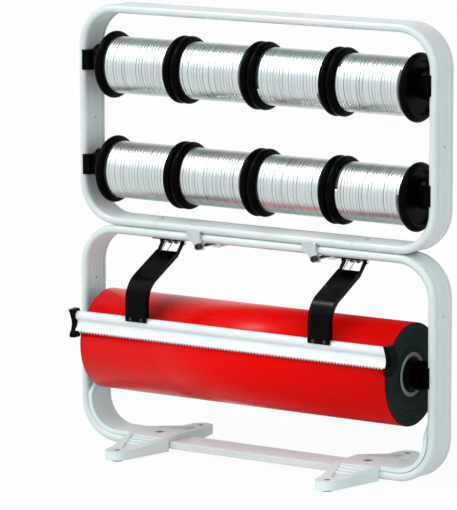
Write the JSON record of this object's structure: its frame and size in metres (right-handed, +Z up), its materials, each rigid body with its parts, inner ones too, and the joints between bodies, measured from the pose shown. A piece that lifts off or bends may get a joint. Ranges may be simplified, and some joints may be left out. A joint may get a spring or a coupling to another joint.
{
  "type": "ribbon spool dispenser",
  "caption": "Counter-top dispenser with a gift-wrap roll under a sprung tear-off rail and rows of ribbon spools on two lift-out rods in stacked bent frames.",
  "frame": {"origin": "centre of the four pads on the counter", "axes": "+Z up, +X along the rolls to the right seen from the customer side, +Y away from the customer side"},
  "size_m": [0.584, 0.238, 0.6244],
  "materials": {
    "frame_paint": "pale grey satin powder coat",
    "cast_paint": "pale grey satin powder coat on a casting",
    "rail_paint": "white satin coat",
    "bright_steel": "bright plated steel",
    "black_screw": "blackened steel",
    "black_paint": "black gloss coat",
    "black_plastic": "black moulded plastic",
    "pad_rubber": "matte",
    "red_paper": "glossy coated gift wrap, red",
    "core_board": "plain board",
    "ribbon_film": "silver metallic ribbon"
  },
  "bodies": {
    "stand": {"lower_frame": "frame_paint", "upper_frame": "frame_paint", "upper_joint_bar": "frame_paint", "cross_bar": "frame_paint", "left_foot": "cast_paint", "right_foot": "cast_paint", "foot_pads": "pad_rubber", "frame_screws": "black_screw", "toe_screws": "black_screw", "left_clamp_front": "bright_steel", "right_clamp_front": "bright_steel", "left_clamp_back": "bright_steel", "right_clamp_back": "bright_steel", "left_arm_bracket": "black_paint", "right_arm_bracket": "black_paint", "left_hinge_pin": "bright_steel", "right_hinge_pin": "bright_steel", "paper_axle": "bright_steel", "left_roll_bearing": "black_plastic", "right_roll_bearing": "black_plastic", "upper_left_bearing": "black_plastic", "upper_right_bearing": "black_plastic", "lower_left_bearing": "black_plastic", "lower_right_bearing": "black_plastic"},
    "left_clamp_knob": {"left_clamp_screw": "black_screw"},
    "right_clamp_knob": {"right_clamp_screw": "black_screw"},
    "rail_unit": {"left_arm": "black_paint", "right_arm": "black_paint", "arm_rivets": "black_screw", "tear_rail": "rail_paint", "tear_blade": "bright_steel", "left_rail_cap": "black_plastic", "right_rail_cap": "black_plastic", "left_springs": "black_screw", "right_springs": "black_screw"},
    "paper": {"paper_roll": "red_paper", "paper_core": "core_board", "left_cone": "black_plastic", "right_cone": "black_plastic"},
    "upper_rod": {"upper_axle": "bright_steel"},
    "lower_rod": {"lower_axle": "bright_steel"},
    "ribbon_spool_u1": {"spool_u1": "black_plastic", "ribbon_u1": "ribbon_film"},
    "ribbon_spool_u2": {"spool_u2": "black_plastic", "ribbon_u2": "ribbon_film"},
    "ribbon_spool_u3": {"spool_u3": "black_plastic", "ribbon_u3": "ribbon_film"},
    "ribbon_spool_u4": {"spool_u4": "black_plastic", "ribbon_u4": "ribbon_film"},
    "ribbon_spool_l1": {"spool_l1": "black_plastic", "ribbon_l1": "ribbon_film"},
    "ribbon_spool_l2": {"spool_l2": "black_plastic", "ribbon_l2": "ribbon_film"},
    "ribbon_spool_l3": {"spool_l3": "black_plastic", "ribbon_l3": "ribbon_film"},
    "ribbon_spool_l4": {"spool_l4": "black_plastic", "ribbon_l4": "ribbon_film"}
  },
  "joints": [
    {"name": "rail_lift", "type": "hinge", "parent": "stand", "child": "rail_unit", "pos_m": [0, 0.002, 0.296], "axis": [-1, 0, 0], "range_deg": [0, 35]},
    {"name": "paper_roll_spin", "type": "hinge", "parent": "stand", "child": "paper", "pos_m": [0, -0.012, 0.152], "axis": [1, 0, 0], "continuous": true},
    {"name": "upper_rod_lift", "type": "slide", "parent": "stand", "child": "upper_rod", "axis": [0, 0, 1], "range_m": [0, 0.02]},
    {"name": "lower_rod_lift", "type": "slide", "parent": "stand", "child": "lower_rod", "axis": [0, 0, 1], "range_m": [0, 0.03]},
    {"name": "left_clamp_turn", "type": "hinge", "parent": "stand", "child": "left_clamp_knob", "pos_m": [-0.084, 0, 0.2985], "axis": [0, -1, 0], "continuous": true},
    {"name": "right_clamp_turn", "type": "hinge", "parent": "stand", "child": "right_clamp_knob", "pos_m": [0.106, 0, 0.2985], "axis": [0, -1, 0], "continuous": true},
    {"name": "spool_u1_spin", "type": "hinge", "parent": "upper_rod", "child": "ribbon_spool_u1", "pos_m": [-0.1875, 0, 0.538], "axis": [1, 0, 0], "continuous": true},
    {"name": "spool_u2_spin", "type": "hinge", "parent": "upper_rod", "child": "ribbon_spool_u2", "pos_m": [-0.0605, 0, 0.538], "axis": [1, 0, 0], "continuous": true},
    {"name": "spool_u3_spin", "type": "hinge", "parent": "upper_rod", "child": "ribbon_spool_u3", "pos_m": [0.0665, 0, 0.538], "axis": [1, 0, 0], "continuous": true},
    {"name": "spool_u4_spin", "type": "hinge", "parent": "upper_rod", "child": "ribbon_spool_u4", "pos_m": [0.1935, 0, 0.538], "axis": [1, 0, 0], "continuous": true},
    {"name": "spool_l1_spin", "type": "hinge", "parent": "lower_rod", "child": "ribbon_spool_l1", "pos_m": [-0.1875, 0, 0.391], "axis": [1, 0, 0], "continuous": true},
    {"name": "spool_l2_spin", "type": "hinge", "parent": "lower_rod", "child": "ribbon_spool_l2", "pos_m": [-0.0605, 0, 0.391], "axis": [1, 0, 0], "continuous": true},
    {"name": "spool_l3_spin", "type": "hinge", "parent": "lower_rod", "child": "ribbon_spool_l3", "pos_m": [0.0665, 0, 0.391], "axis": [1, 0, 0], "continuous": true},
    {"name": "spool_l4_spin", "type": "hinge", "parent": "lower_rod", "child": "ribbon_spool_l4", "pos_m": [0.1935, 0, 0.391], "axis": [1, 0, 0], "continuous": true}
  ]
}
